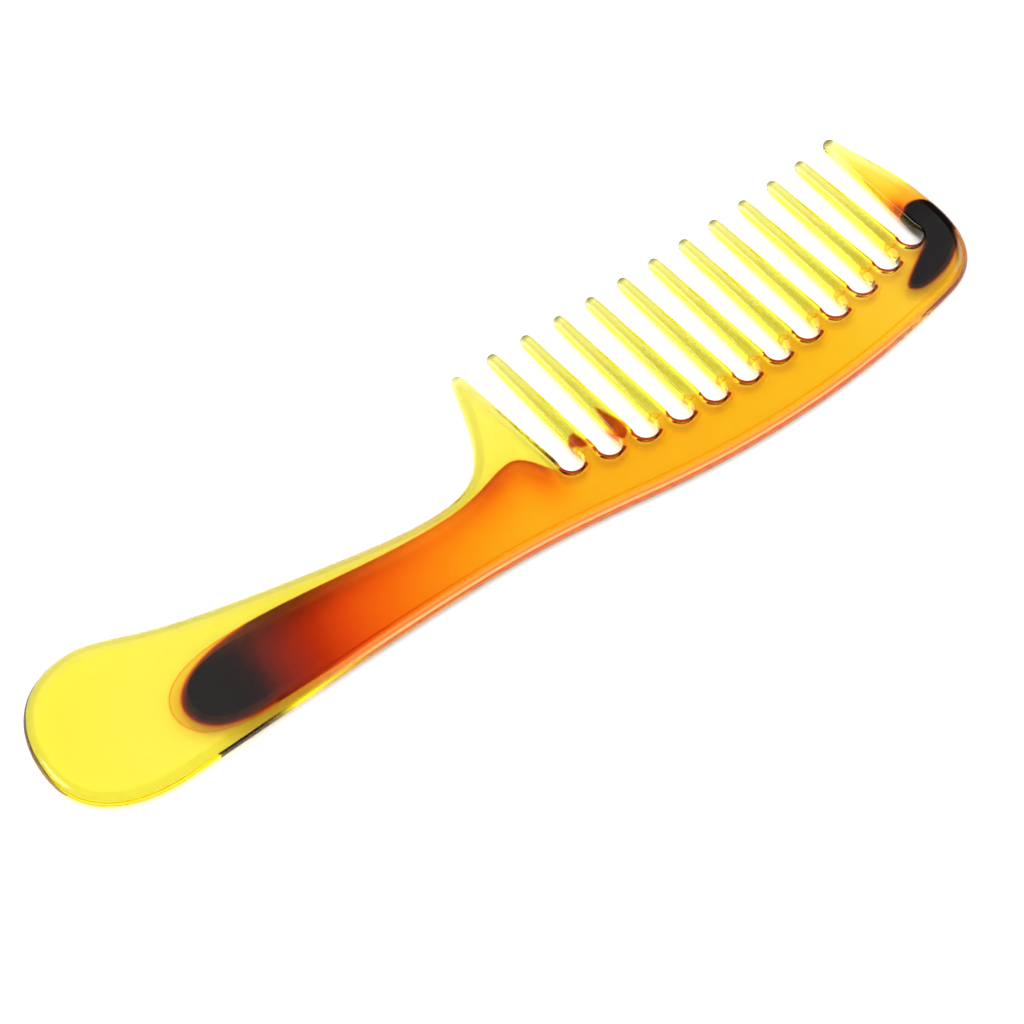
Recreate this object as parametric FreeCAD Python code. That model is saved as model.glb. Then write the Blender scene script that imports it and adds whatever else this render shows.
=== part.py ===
import FreeCAD, Part
import math
import os
from FreeCAD import Vector

# Wide tooth handled comb, a two-colour moulding, laid flat on its broad face. Millimetres.
# X runs along the comb from the handle's end, Y from the back to the tooth tips, Z up.
# The finished pieces are moved so that the origin is the middle of the underside.

# Plate and handle
plate_thickness = 3.6
handle_length = 95.0          # handle's end to its waist, where the head begins
handle_underside = 9.1        # lower edge of the handle, above the lowest point of the back
handle_end_width = 36.9
waist_width = 18.6
waist_drop = 0.7              # lower edge at the waist, below the handle's underside
waist_slope = -0.05           # of the lower edge as it leaves the handle
cap_reach_bottom = 22.0       # the rounded end along the lower edge
cap_fullness = 0.62           # 0.55 would be an ellipse, more is squarer
cap_nose_share = 0.463        # height of the handle's outermost point, as a share of its width
handle_edge_radius = 1.5
# The upper edge's fall from its crest to the waist: share of the handle's length, share of the fall left
upper_edge = ((0.182, 1.0), (0.316, 0.784), (0.526, 0.447), (0.737, 0.195), (1.0, 0.0))

# Head
heel_span = 27.3              # waist to the centre of the first gap
tooth_pitch = 8.52
tooth_count = 11              # straight teeth, between the heel tooth and the end tooth
end_span = 11.1               # centre of the last gap to the far end
back_depth = 12.2             # lowest point of the back to the deepest gap's root
tooth_reach = 38.1            # deepest gap's root to the shortest tooth's tip
back_arc_radius = 225.0
back_arc_shift = 2.0          # the back's lowest point stands this far past the head's middle
root_arc_radius = 214.0
tip_arc_radius = 800.0
tip_arc_shift = 6.0           # the shortest tooth stands this far past the head's middle
back_run_in = 35.0            # waist to the start of the back's arc
corner_run_out = 13.6         # end of the back's arc to the far end
corner_pull_back = 0.65       # fullness of the round corner where it leaves the back
corner_pull_joint = 0.68      # and where it meets the end tooth
back_edge_radius = 1.4

# Teeth and gaps
gap_width = 4.4               # between two teeth where they are widest
gap_root_radius = 2.6
gap_edge_radius = 0.3
tooth_tip_radius = 1.5
tooth_lean = 0.6              # each tooth's tip stands this much nearer the handle than its root
tooth_tip_thickness = 2.4
tooth_edge_radius = 0.7
outer_tip_radius = 1.6        # tips of the heel tooth and the end tooth
heel_tip_inset = 5.7          # centre of the heel tooth's tip before the first gap's centre
end_tip_inset = 4.2           # centre of the end tooth's tip past the last gap's centre
end_joint_rise = 8.5          # end tooth's joint above the centre of the last gap's root
heel_tip_drop = 0.3           # the heel tooth stands this much shorter than the arc of tips
end_tip_rise = 0.5            # and the end tooth this much longer
heel_flank_pull = 0.6         # fullness of the heel tooth's sweeping flank
end_joint_inset = 0.6         # and set in from the far end
heel_tip_lean = math.radians(18)    # lean of the heel tooth's outer flank at its tip
end_tip_lean = math.radians(12)     # and of the end tooth's
end_joint_lean = math.radians(6)    # and of the end tooth's at its joint

# Coloured cores
tang_thickness = 2.4
tang_length = 68.4            # amber tongue that runs from the head down the handle
tang_width = 18.6
tang_margin = 2.9             # clear border below the tang
tang_nose_share = 0.85        # length of its round nose, as a share of its width
tang_waist_margin = 1.7       # clear border at the waist, above and below
tang_edge_radius = 0.8
heel_border_rise = 1.2        # crest of the heel tooth's border above the waist
heel_border_inset = 9.8       # that crest, before the first gap's centre
heel_border_slant = 0.25      # how steeply the border comes down to the first gap
core_length = 40.0            # dark core in the tang's end
core_margin = 0.8
core_nose_margin = 1.8
core_thickness = 1.5
core_thin_end = 0.5
core_nose_share = 1.6         # length of its round nose, as a share of its half width
core_end_share = 0.75         # width of its thin end, as a share of its full width
corner_core_thickness = 2.4

curve_pull = 1.0 / 3.0        # a smooth curve follows its end's heading for this share of its run
nearness = 0.3                # an edge whose middle is this near to a line lies on it
clearance = 1.0               # what trims a piece reaches this far past it

mid_z = plate_thickness / 2.0
waist_low_y = handle_underside - waist_drop
waist_top_y = waist_low_y + waist_width
crest_y = handle_underside + handle_end_width
first_gap_x = handle_length + heel_span
last_gap_x = first_gap_x + tooth_count * tooth_pitch
far_end_x = last_gap_x + end_span
head_middle_x = (first_gap_x + last_gap_x) / 2.0
tip_low_x = head_middle_x + tip_arc_shift


def at(x, y):
    return Vector(x, y, 0.0)


def heading(angle):
    return at(math.cos(angle), math.sin(angle))


def line(start, end):
    return Part.LineSegment(start, end).toShape()


def arc(start, through, end):
    return Part.Arc(start, through, end).toShape()


def bezier(*poles):
    curve = Part.BezierCurve()
    curve.setPoles(list(poles))
    return curve.toShape()


def plate(edges, thickness):
    """A flat solid of the given outline, half above and half below the comb's middle plane."""
    face = Part.Face(Part.Wire(Part.__sortEdges__(edges)))
    solid = face.extrude(Vector(0, 0, thickness))
    solid.translate(Vector(0, 0, mid_z - thickness / 2.0))
    return solid


def rounded(solid, radius, wanted):
    """Rounds the edges of both broad faces whose middle point is wanted."""
    chosen = []
    for edge in solid.Edges:
        ends = edge.Vertexes
        upright = abs(ends[0].Z - ends[-1].Z) > tooth_tip_thickness / 2.0
        middle = edge.valueAt((edge.FirstParameter + edge.LastParameter) / 2.0)
        if not upright and wanted(middle):
            chosen.append(edge)
    return solid.makeFillet(radius, chosen)


def sagitta(radius, distance):
    """How far an arc has risen, this far along from its lowest point."""
    return radius - math.sqrt(radius ** 2 - distance ** 2)


def root_y(x):
    return back_depth + sagitta(root_arc_radius, x - head_middle_x)


def tip_y(x):
    return back_depth + tooth_reach + sagitta(tip_arc_radius, x - tip_low_x)


def gap_centre(index):
    """Centre of a gap's round root. Gaps count from 0, beside the heel tooth."""
    x = first_gap_x + index * tooth_pitch
    return at(x, root_y(x) + gap_root_radius)


def gap_neck(index, side):
    """Widest place of a gap's round root, on its left, -1, or its right, 1."""
    return gap_centre(index) + at(side * gap_root_radius, 0)


def gap_shoulder(index, side):
    """Where the round root meets a tooth's straight flank."""
    rise = math.sqrt(gap_root_radius ** 2 - (gap_width / 2.0) ** 2)
    return gap_centre(index) + at(side * gap_width / 2.0, rise)


def neck_arc(index, side):
    """The round root between the neck and the shoulder."""
    half_turn = math.acos(gap_width / 2.0 / gap_root_radius) / 2.0
    sideways = side * gap_root_radius * math.cos(half_turn)
    middle = gap_centre(index) + at(sideways, gap_root_radius * math.sin(half_turn))
    return arc(gap_neck(index, side), middle, gap_shoulder(index, side))


def root_arc(index):
    """The lower half of the round root, from neck to neck."""
    bottom = gap_centre(index) - at(0, gap_root_radius)
    return arc(gap_neck(index, -1), bottom, gap_neck(index, 1))


def touch(outside, centre, radius, side):
    """Where a line from a point outside a circle touches it, on its left, 1, or its right, -1."""
    across = centre - outside
    swing = side * math.asin(radius / across.Length)
    reach = math.sqrt(across.Length ** 2 - radius ** 2)
    return outside + heading(math.atan2(across.y, across.x) + swing) * reach


def thinned(solid, base_level, tip):
    """Thins a tooth evenly, from the plate's thickness at its base to the tip's."""
    box = solid.BoundBox
    low_y = box.YMin - clearance
    half = plate_thickness / 2.0
    tip_half = tooth_tip_thickness / 2.0
    upper = [
        Vector(box.XMin, tip, mid_z + tip_half),
        Vector(box.XMin, base_level, mid_z + half),
        Vector(box.XMin, low_y, mid_z + half),
    ]
    lower = [
        Vector(box.XMin, low_y, mid_z - half),
        Vector(box.XMin, base_level, mid_z - half),
        Vector(box.XMin, tip, mid_z - tip_half),
    ]
    side_face = Part.Face(Part.makePolygon(upper + lower + upper[:1]))
    return solid.common(side_face.extrude(Vector(box.XLength, 0, 0)))


def straight_tooth(index):
    """The tooth between a gap and the next one."""
    x = gap_centre(index).x + tooth_pitch / 2.0
    tip = tip_y(x)
    tip_centre = at(x - tooth_lean, tip - tooth_tip_radius)
    left_base = gap_shoulder(index, 1)
    right_base = gap_shoulder(index + 1, -1)
    left_touch = touch(left_base, tip_centre, tooth_tip_radius, 1)
    right_touch = touch(right_base, tip_centre, tooth_tip_radius, -1)
    outline = [
        neck_arc(index, 1),
        line(left_base, left_touch),
        arc(left_touch, tip_centre + at(0, tooth_tip_radius), right_touch),
        line(right_touch, right_base),
        neck_arc(index + 1, -1),
        line(gap_neck(index + 1, -1), gap_neck(index, 1)),
    ]
    joint_level = min(gap_neck(index, 1).y, gap_neck(index + 1, -1).y)
    blank = thinned(plate(outline, plate_thickness), joint_level, tip)
    joint = line(gap_neck(index, 1), gap_neck(index + 1, -1))

    def off_joint(middle):
        return joint.distToShape(Part.Vertex(middle.x, middle.y, 0.0))[0] > nearness

    return rounded(blank, tooth_edge_radius, off_joint)


heel_tip_y = tip_y(first_gap_x) - heel_tip_drop
end_tip_y = tip_y(last_gap_x) + end_tip_rise
heel_tip_centre = at(first_gap_x - heel_tip_inset, heel_tip_y - outer_tip_radius)
end_tip_centre = at(last_gap_x + end_tip_inset, end_tip_y - outer_tip_radius)
end_joint_y = gap_centre(tooth_count).y + end_joint_rise
waist_top = at(handle_length, waist_top_y)
waist_low = at(handle_length, waist_low_y)
tang_top_waist = waist_top - at(0, tang_waist_margin)


def heel_border():
    """The S-shaped border between the heel tooth and the amber back."""
    crest = at(first_gap_x - heel_border_inset, waist_top_y + heel_border_rise)
    reach = (crest.x - handle_length) / 2.0
    neck = gap_neck(0, -1)
    fall = crest.y - neck.y
    rise = bezier(tang_top_waist, tang_top_waist + at(reach, 0), crest - at(reach / 2.0, 0), crest)
    slant = at(-fall, fall) * heel_border_slant
    drop = bezier(crest, crest + at(fall / 2.0, 0), neck + slant, neck)
    return [rise, drop]


def heel_tooth():
    """Broad first tooth, which sweeps up out of the handle's upper edge."""
    outward = heading(math.pi - heel_tip_lean)
    along = heading(math.pi / 2.0 - heel_tip_lean)
    left_touch = heel_tip_centre + outward * outer_tip_radius
    right_base = gap_shoulder(0, -1)
    right_touch = touch(right_base, heel_tip_centre, outer_tip_radius, -1)
    rise = (left_touch.y - waist_top_y) * heel_flank_pull
    sweep = (left_touch.x - handle_length) * heel_flank_pull
    flank = bezier(left_touch, left_touch - along * rise, waist_top + at(sweep, 0), waist_top)
    tip = heel_tip_centre + at(0, outer_tip_radius)
    outline = heel_border() + [
        neck_arc(0, -1),
        line(right_base, right_touch),
        arc(right_touch, tip, left_touch),
        flank,
        line(waist_top, tang_top_waist),
    ]
    blank = thinned(plate(outline, plate_thickness), right_base.y, tip.y)
    border = Part.Wire(heel_border() + [line(waist_top, tang_top_waist)])

    def off_border(middle):
        return border.distToShape(Part.Vertex(middle.x, middle.y, 0.0))[0] > nearness

    return rounded(blank, tooth_edge_radius, off_border)


end_left_base = gap_shoulder(tooth_count, 1)
end_left_touch = touch(end_left_base, end_tip_centre, outer_tip_radius, 1)
end_joint_share = (end_joint_y - end_left_base.y) / (end_left_touch.y - end_left_base.y)
end_joint_left = end_left_base + (end_left_touch - end_left_base) * end_joint_share
end_joint_right = at(far_end_x - end_joint_inset, end_joint_y)
end_joint_turn = heading(math.pi / 2.0 + end_joint_lean)


def end_tooth():
    """Stout last tooth, which carries on from the rounded corner of the head."""
    outward = heading(end_tip_lean)
    along = heading(math.pi / 2.0 + end_tip_lean)
    right_touch = end_tip_centre + outward * outer_tip_radius
    pull = (right_touch.y - end_joint_y) * curve_pull
    tip = end_tip_centre + at(0, outer_tip_radius)
    outline = [
        line(end_joint_left, end_left_touch),
        arc(end_left_touch, tip, right_touch),
        bezier(
            right_touch,
            right_touch - along * pull,
            end_joint_right + end_joint_turn * pull,
            end_joint_right,
        ),
        line(end_joint_right, end_joint_left),
    ]
    blank = thinned(plate(outline, plate_thickness), end_joint_y, tip.y)

    def off_joint(middle):
        return middle.y > end_joint_y + nearness

    return rounded(blank, tooth_edge_radius, off_joint)


waist_turn = at(1, waist_slope)


def underside(low):
    """Almost straight lower edge of the handle."""
    pull = (handle_length - low.x) * curve_pull
    return bezier(low, low + at(pull, 0), waist_low - waist_turn * pull, waist_low)


def handle_blank():
    """Flat paddle with a full rounded end, which narrows to the waist."""
    fall = crest_y - waist_top_y
    points = [at(handle_length * run, waist_top_y + fall * left) for run, left in upper_edge]
    upper = Part.BSplineCurve()
    upper.interpolate(points, InitialTangent=at(1, 0), FinalTangent=at(1, 0))
    crest = points[0]
    nose = at(0, handle_underside + handle_end_width * cap_nose_share)
    low = at(cap_reach_bottom, handle_underside)
    over = crest.y - nose.y
    under = nose.y - low.y
    outline = [
        upper.toShape(),
        bezier(
            crest,
            crest - at(crest.x * cap_fullness, 0),
            nose + at(0, over * cap_fullness),
            nose,
        ),
        bezier(
            nose,
            nose - at(0, under * cap_fullness),
            low - at(low.x * cap_fullness, 0),
            low,
        ),
        underside(low),
        line(waist_low, waist_top),
    ]

    def off_joint(middle):
        return middle.x < handle_length - nearness

    return rounded(plate(outline, plate_thickness), handle_edge_radius, off_joint)


def back_edge():
    """The back of the head: run-in from the waist, long shallow arc, then the round corner."""
    start_x = handle_length + back_run_in
    end_x = far_end_x - corner_run_out
    low_x = head_middle_x + back_arc_shift
    start = at(start_x, sagitta(back_arc_radius, start_x - low_x))
    end = at(end_x, sagitta(back_arc_radius, end_x - low_x))
    start_turn = heading(math.asin((start_x - low_x) / back_arc_radius))
    end_turn = heading(math.asin((end_x - low_x) / back_arc_radius))
    pull = back_run_in * curve_pull
    run_in = bezier(waist_low, waist_low + waist_turn * pull, start - start_turn * pull, start)
    corner_rise = end_joint_y - end.y
    corner = bezier(
        end,
        end + end_turn * corner_run_out * corner_pull_back,
        end_joint_right - end_joint_turn * corner_rise * corner_pull_joint,
        end_joint_right,
    )
    return [run_in, arc(start, at(low_x, 0), end), corner]


def head_blank():
    """The back of the head, from the waist to the gap roots and the end tooth's joint."""
    outline = back_edge() + [line(end_joint_right, end_joint_left)]
    outline.append(line(end_joint_left, end_left_base))
    outline.append(neck_arc(tooth_count, 1))
    for index in range(tooth_count + 1):
        outline.append(root_arc(index))
    for index in range(tooth_count):
        outline.append(line(gap_neck(index, 1), gap_neck(index + 1, -1)))
    outline += heel_border() + [line(tang_top_waist, waist_low)]
    blank = plate(outline, plate_thickness)
    back = Part.Wire(back_edge())

    def on_back(middle):
        return back.distToShape(Part.Vertex(middle.x, middle.y, 0.0))[0] < nearness

    def on_root(middle):
        steps = range(tooth_count + 1)
        gaps = [(at(middle.x, middle.y) - gap_centre(index)).Length for index in steps]
        return abs(min(gaps) - gap_root_radius) < nearness / 2.0

    softened = rounded(blank, back_edge_radius, on_back)
    return rounded(softened, gap_edge_radius, on_root)


tang_nose_x = handle_length - tang_length
tang_low_y = handle_underside + tang_margin
tang_crest_y = tang_low_y + tang_width


def tang():
    """Amber tongue inside the handle, with a round nose."""
    nose = at(tang_nose_x, (tang_low_y + tang_crest_y) / 2.0)
    nose_reach = tang_width * tang_nose_share
    crest = at(tang_nose_x + nose_reach, tang_crest_y)
    low = at(tang_nose_x + nose_reach, tang_low_y)
    low_waist = waist_low + at(0, tang_waist_margin)
    bulge = tang_width / 2.0 * cap_fullness
    reach = (handle_length - crest.x) * curve_pull
    outline = [
        bezier(crest, crest - at(nose_reach * cap_fullness, 0), nose + at(0, bulge), nose),
        bezier(nose, nose - at(0, bulge), low - at(nose_reach * cap_fullness, 0), low),
        bezier(low, low + at(reach, 0), low_waist - at(reach, 0), low_waist),
        line(low_waist, tang_top_waist),
        bezier(tang_top_waist, tang_top_waist - at(reach, 0), crest + at(reach, 0), crest),
    ]

    def off_joint(middle):
        return middle.x < handle_length - nearness

    return rounded(plate(outline, tang_thickness), tang_edge_radius, off_joint)


def grip_core():
    """Dark wedge in the end of the tang, thickest by the nose."""
    start_x = tang_nose_x + core_nose_margin
    end_x = start_x + core_length
    half_width = tang_width / 2.0 - core_margin
    centre_y = (tang_low_y + tang_crest_y) / 2.0
    end_half_width = half_width * core_end_share
    round_x = start_x + half_width * core_nose_share
    nose = at(start_x, centre_y)
    crest = at(round_x, centre_y + half_width)
    low = at(round_x, centre_y - half_width)
    bulge = half_width * cap_fullness
    pull = (round_x - start_x) * cap_fullness
    outline = [
        bezier(crest, crest - at(pull, 0), nose + at(0, bulge), nose),
        bezier(nose, nose - at(0, bulge), low - at(pull, 0), low),
        line(low, at(end_x, centre_y - end_half_width)),
        line(at(end_x, centre_y - end_half_width), at(end_x, centre_y + end_half_width)),
        line(at(end_x, centre_y + end_half_width), crest),
    ]
    thick = core_thickness / 2.0
    thin = core_thin_end / 2.0
    wedge = [
        Vector(start_x, tang_low_y, mid_z - thick),
        Vector(end_x, tang_low_y, mid_z - thin),
        Vector(end_x, tang_low_y, mid_z + thin),
        Vector(start_x, tang_low_y, mid_z + thick),
    ]
    wedge_face = Part.Face(Part.makePolygon(wedge + wedge[:1]))
    return plate(outline, core_thickness).common(wedge_face.extrude(Vector(0, tang_width, 0)))


def corner_core():
    """Dark kidney round the last gap's root. Its points count from the centre of that root."""
    steps = [
        (10.1, 5.2), (6.4, 7.2), (3.5, 5.6), (3.5, 0.8), (2.3, -2.8), (-1.1, -4.4), (-6.3, -7.4),
        (-7.4, -9.4), (-4.6, -10.8), (0.5, -10.2), (5.4, -8.0), (8.9, -4.6), (10.2, -0.2),
    ]
    curve = Part.BSplineCurve()
    curve.interpolate([gap_centre(tooth_count) + at(x, y) for x, y in steps], PeriodicFlag=True)
    return plate([curve.toShape()], corner_core_thickness)


def comb_pieces():
    """Every piece by name, fitted to its neighbours."""
    dark_grip = grip_core()
    dark_corner = corner_core()
    tongue = tang()
    back = head_blank().fuse(tongue).cut(dark_grip).cut(dark_corner)
    pieces = {
        "handle_shell": handle_blank().cut(tongue),
        "amber_back": back,
        "grip_core": dark_grip,
        "corner_core": dark_corner,
        "heel_tooth": heel_tooth(),
        "end_tooth": end_tooth(),
    }
    for index in range(tooth_count):
        pieces["tooth_%02d" % (index + 2)] = straight_tooth(index)
    return pieces


def main():
    os.makedirs("parts", exist_ok=True)
    pieces = comb_pieces()
    box = FreeCAD.BoundBox()
    for shape in pieces.values():
        box.add(shape.optimalBoundingBox())
    for name, shape in pieces.items():
        solids = shape.Solids
        print(name, len(solids), "solid", round(shape.Volume, 2), "mm3", shape.isValid())
        placed = solids[0].copy() if len(solids) == 1 else shape.copy()
        placed.translate(Vector(-box.Center.x, -box.Center.y, -box.ZMin))
        placed.exportStep("parts/" + name + ".step")
    print("box", round(box.XLength, 2), round(box.YLength, 2), round(box.ZLength, 2))


main()
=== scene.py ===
import math

import bpy
import numpy as np
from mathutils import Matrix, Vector
from mathutils.geometry import delaunay_2d_cdt


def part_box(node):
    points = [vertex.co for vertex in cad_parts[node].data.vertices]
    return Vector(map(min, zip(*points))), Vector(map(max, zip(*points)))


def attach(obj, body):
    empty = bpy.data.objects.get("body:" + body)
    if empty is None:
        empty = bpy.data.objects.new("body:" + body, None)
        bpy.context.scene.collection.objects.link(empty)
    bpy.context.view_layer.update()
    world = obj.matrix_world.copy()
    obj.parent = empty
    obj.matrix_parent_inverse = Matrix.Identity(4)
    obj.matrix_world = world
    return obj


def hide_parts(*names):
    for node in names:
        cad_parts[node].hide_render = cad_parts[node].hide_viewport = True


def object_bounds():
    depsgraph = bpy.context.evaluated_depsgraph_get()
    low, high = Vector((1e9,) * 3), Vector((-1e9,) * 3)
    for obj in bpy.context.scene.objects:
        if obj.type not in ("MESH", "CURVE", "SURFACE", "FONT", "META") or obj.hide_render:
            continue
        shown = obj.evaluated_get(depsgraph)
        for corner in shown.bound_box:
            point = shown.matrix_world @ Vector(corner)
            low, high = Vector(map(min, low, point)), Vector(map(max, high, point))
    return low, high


# Wide tooth comb of clear yellow plastic, with an amber back and tongue and dark dye in the grip and corner.
# Shapes are worked out in millimetres from the comb's end and lowest edge, then put in the part's frame.
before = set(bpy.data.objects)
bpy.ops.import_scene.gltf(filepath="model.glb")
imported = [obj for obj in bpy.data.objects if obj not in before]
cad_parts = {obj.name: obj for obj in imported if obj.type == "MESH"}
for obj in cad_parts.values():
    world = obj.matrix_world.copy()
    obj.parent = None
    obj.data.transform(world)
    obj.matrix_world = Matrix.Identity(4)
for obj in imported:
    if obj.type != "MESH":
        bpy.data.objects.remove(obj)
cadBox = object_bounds()

mm = 0.001
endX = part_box("handle_shell")[0].x / mm
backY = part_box("amber_back")[0].y / mm
thickness = (cadBox[1][2] - cadBox[0][2]) / mm
midZ = thickness / 2

handle = {
    "length": 95.0,
    "underside": 9.1,  # height of its lower edge over the back's lowest point
    "endWidth": 36.9,
    "waistWidth": 18.6,
    "waistDrop": 0.7,
    "capTop": 17.3,  # where the round end is highest, and next where it is lowest
    "capBottom": 22.0,
    "fullness": 0.62,  # pull of the round end's curves, as a share of their run
    "noseShare": 0.463,  # height of the outermost point, as a share of the end's width
    "waistTurn": (1.0, -0.05),
    "slope": ((0.182, 1.0), (0.316, 0.784), (0.526, 0.447), (0.737, 0.195), (1.0, 0.0)),
    "edge": 2.7,  # width of the rounding along the edge, here and below
}
head = {
    "heelSpan": 27.3,
    "pitch": 8.52,
    "teeth": 11,
    "endSpan": 11.1,
    "backDepth": 12.2,
    "toothReach": 38.1,
    "backRadius": 225.0,
    "backShift": 2.0,  # how far the arc's lowest point is past the head's middle
    "rootRadius": 214.0,
    "tipRadius": 800.0,
    "tipShift": 6.0,
    "runIn": 35.0,
    "runOut": 13.6,
    "cornerPull": (0.65, 0.68),
    "edge": 2.5,
}
teeth = {
    "gapWidth": 4.4,
    "gapRadius": 2.6,
    "nearSide": (-0.6, -0.8),  # unit step from a gap towards the side whose wall is seen
    "tipRadius": 1.5,
    "lean": 0.6,
    "tipThickness": 2.4,
    "outerTipRadius": 1.6,
    "heelInset": 5.7,
    "endInset": 4.2,
    "jointRise": 8.5,
    "heelDrop": 0.3,
    "endRise": 0.5,
    "jointInset": 0.6,
    "heelLean": math.radians(18),
    "heelPull": 0.6,
    "endLean": math.radians(12),
    "jointLean": math.radians(6),
    "thinFrom": 8.0,  # how far past the handle the thinning starts
    "edge": 1.1,
    "rootEdge": 0.55,
}

waistLowY = handle["underside"] - handle["waistDrop"]
waistTopY = waistLowY + handle["waistWidth"]
crestY = handle["underside"] + handle["endWidth"]
firstGapX = handle["length"] + head["heelSpan"]
lastGapX = firstGapX + head["teeth"] * head["pitch"]
farX = lastGapX + head["endSpan"]
headMiddleX = (firstGapX + lastGapX) / 2


# A point or a step, from its x and y.
def at(x, y):
    return np.array((x, y), float)


# Unit step at an angle from the x axis: its cosine and its sine.
def heading(angle):
    return at(math.cos(angle), math.sin(angle))


# Cubic between two ends, pulled towards two handles.
def bezier(start, pullA, pullB, end, count=60):
    t = np.linspace(0, 1, count)[:, None]
    near = (1 - t) ** 3 * start + 3 * (1 - t) ** 2 * t * pullA
    return near + 3 * (1 - t) * t ** 2 * pullB + t ** 3 * end


# The start, plus an even share of the step to the end.
def straight(start, end, count=2):
    t = np.linspace(0, 1, count)[:, None]
    return start + (end - start) * t


# Straight lines from each corner to the next.
def throughCorners(*corners):
    return [straight(start, end) for start, end in zip(corners, corners[1:])]


# Circle round a centre, from one angle to another.
def arc(centre, radius, fromAngle, toAngle, count=40):
    angle = np.linspace(fromAngle, toAngle, count)
    return centre + radius * np.stack((np.cos(angle), np.sin(angle)), 1)


# How far an arc has risen, this far along from its lowest point.
def sagitta(radius, distance):
    return radius - np.sqrt(radius ** 2 - distance ** 2)


# Height of the gaps' roots: the back's depth, plus the rise of an arc from the head's middle.
def rootY(x):
    return head["backDepth"] + sagitta(head["rootRadius"], x - headMiddleX)


# Height of the teeth's tips: the same with a flatter arc, a tooth's reach higher.
def tipY(x):
    lowX = headMiddleX + head["tipShift"]
    return head["backDepth"] + head["toothReach"] + sagitta(head["tipRadius"], x - lowX)


# Height of the teeth's necks: a gap's radius over its root.
def neckY(x):
    return rootY(x) + teeth["gapRadius"]


# The nearest place that has a gap or a straight tooth, along the head.
def alongTeeth(x):
    return np.clip(x, firstGapX, lastGapX)


# Centre of a gap's round root: so many pitches on from the first gap, level with the necks.
def gapCentre(index):
    x = firstGapX + index * head["pitch"]
    return at(x, neckY(x))


shoulderAngle = math.acos(teeth["gapWidth"] / 2 / teeth["gapRadius"])


# Where a gap's round root meets its side: half a width across, and up by the radius times a sine.
def shoulder(index, side):
    rise = teeth["gapRadius"] * math.sin(shoulderAngle)
    return gapCentre(index) + at(side * teeth["gapWidth"] / 2, rise)


# Where a line from an outside point touches a circle, on its left (1) or its right (-1): it swings off
# the line to the centre by the angle whose sine is the radius over the distance.
def touch(outside, centre, radius, side):
    across = centre - outside
    length = np.linalg.norm(across)
    swing = side * math.asin(radius / length)
    reach = math.sqrt(length ** 2 - radius ** 2)
    return outside + heading(math.atan2(across[1], across[0]) + swing) * reach


# The arc over a tooth's tip, from its right flank to its left one.
def tipArc(centre, radius, rightTouch, leftTouch):
    fromAngle = math.atan2(*(rightTouch - centre)[::-1])
    toAngle = math.atan2(*(leftTouch - centre)[::-1])
    return arc(centre, radius, fromAngle, toAngle + (2 * math.pi if toAngle < fromAngle else 0))


# Smooth curve through the points, level at both ends: a cubic between each pair, with slopes that
# keep its bend continuous.
def levelCurve(points, count=120):
    x, y = np.array(points).T
    gap = np.diff(x)
    rise = np.diff(y) / gap
    size = len(x)
    left = np.eye(size)
    right = np.zeros(size)
    inner = np.arange(1, size - 1)
    left[inner, inner - 1] = 1 / gap[:-1]
    left[inner, inner] = 2 / gap[:-1] + 2 / gap[1:]
    left[inner, inner + 1] = 1 / gap[1:]
    right[inner] = 3 * (rise[:-1] / gap[:-1] + rise[1:] / gap[1:])
    slope = np.linalg.solve(left, right)
    along = np.linspace(x[0], x[-1], count)
    span = np.clip(np.searchsorted(x, along, side="right") - 1, 0, size - 2)
    t = (along - x[span]) / gap[span]
    start = (1 + 2 * t) * (1 - t) ** 2 * y[span] + t * (1 - t) ** 2 * gap[span] * slope[span]
    end = t ** 2 * (3 - 2 * t) * y[span + 1] + t ** 2 * (t - 1) * gap[span] * slope[span + 1]
    return np.stack((along, start + end), 1)


waistLow = at(handle["length"], waistLowY)
waistTop = at(handle["length"], waistTopY)


# The round end and the handle's lower edge: three cubics, level at crest and foot, upright at the nose.
def capAndUnderside():
    full = handle["fullness"]
    crest = at(handle["capTop"], crestY)
    nose = at(0, handle["underside"] + handle["endWidth"] * handle["noseShare"])
    low = at(handle["capBottom"], handle["underside"])
    over = at(0, (crest[1] - nose[1]) * full)
    under = at(0, (nose[1] - low[1]) * full)
    third = (handle["length"] - low[0]) / 3
    turn = np.array(handle["waistTurn"])
    return [
        bezier(crest, crest - at(crest[0] * full, 0), nose + over, nose),
        bezier(nose, nose - under, low - at(low[0] * full, 0), low),
        bezier(low, low + at(third, 0), waistLow - turn * third, waistLow),
    ]


endJointY = gapCentre(head["teeth"])[1] + teeth["jointRise"]
endJoint = at(farX - teeth["jointInset"], endJointY)
endJointTurn = heading(math.pi / 2 + teeth["jointLean"])


# The back: a cubic from the waist, a long arc, and a cubic round the corner to the last tooth.
def backEdge():
    startX = handle["length"] + head["runIn"]
    stopX = farX - head["runOut"]
    lowX = headMiddleX + head["backShift"]
    radius = head["backRadius"]
    startTilt = math.asin((startX - lowX) / radius)
    stopTilt = math.asin((stopX - lowX) / radius)
    start = at(startX, sagitta(radius, startX - lowX))
    stop = at(stopX, sagitta(radius, stopX - lowX))
    third = head["runIn"] / 3
    turn = np.array(handle["waistTurn"])
    outPull, upPull = head["cornerPull"]
    pullA = stop + heading(stopTilt) * head["runOut"] * outPull
    pullB = endJoint - endJointTurn * (endJointY - stop[1]) * upPull
    quarter = math.pi / 2
    return [
        bezier(waistLow, waistLow + turn * third, start - heading(startTilt) * third, start),
        arc(at(lowX, radius), radius, startTilt - quarter, stopTilt - quarter),
        bezier(stop, pullA, pullB, endJoint),
    ]


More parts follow.
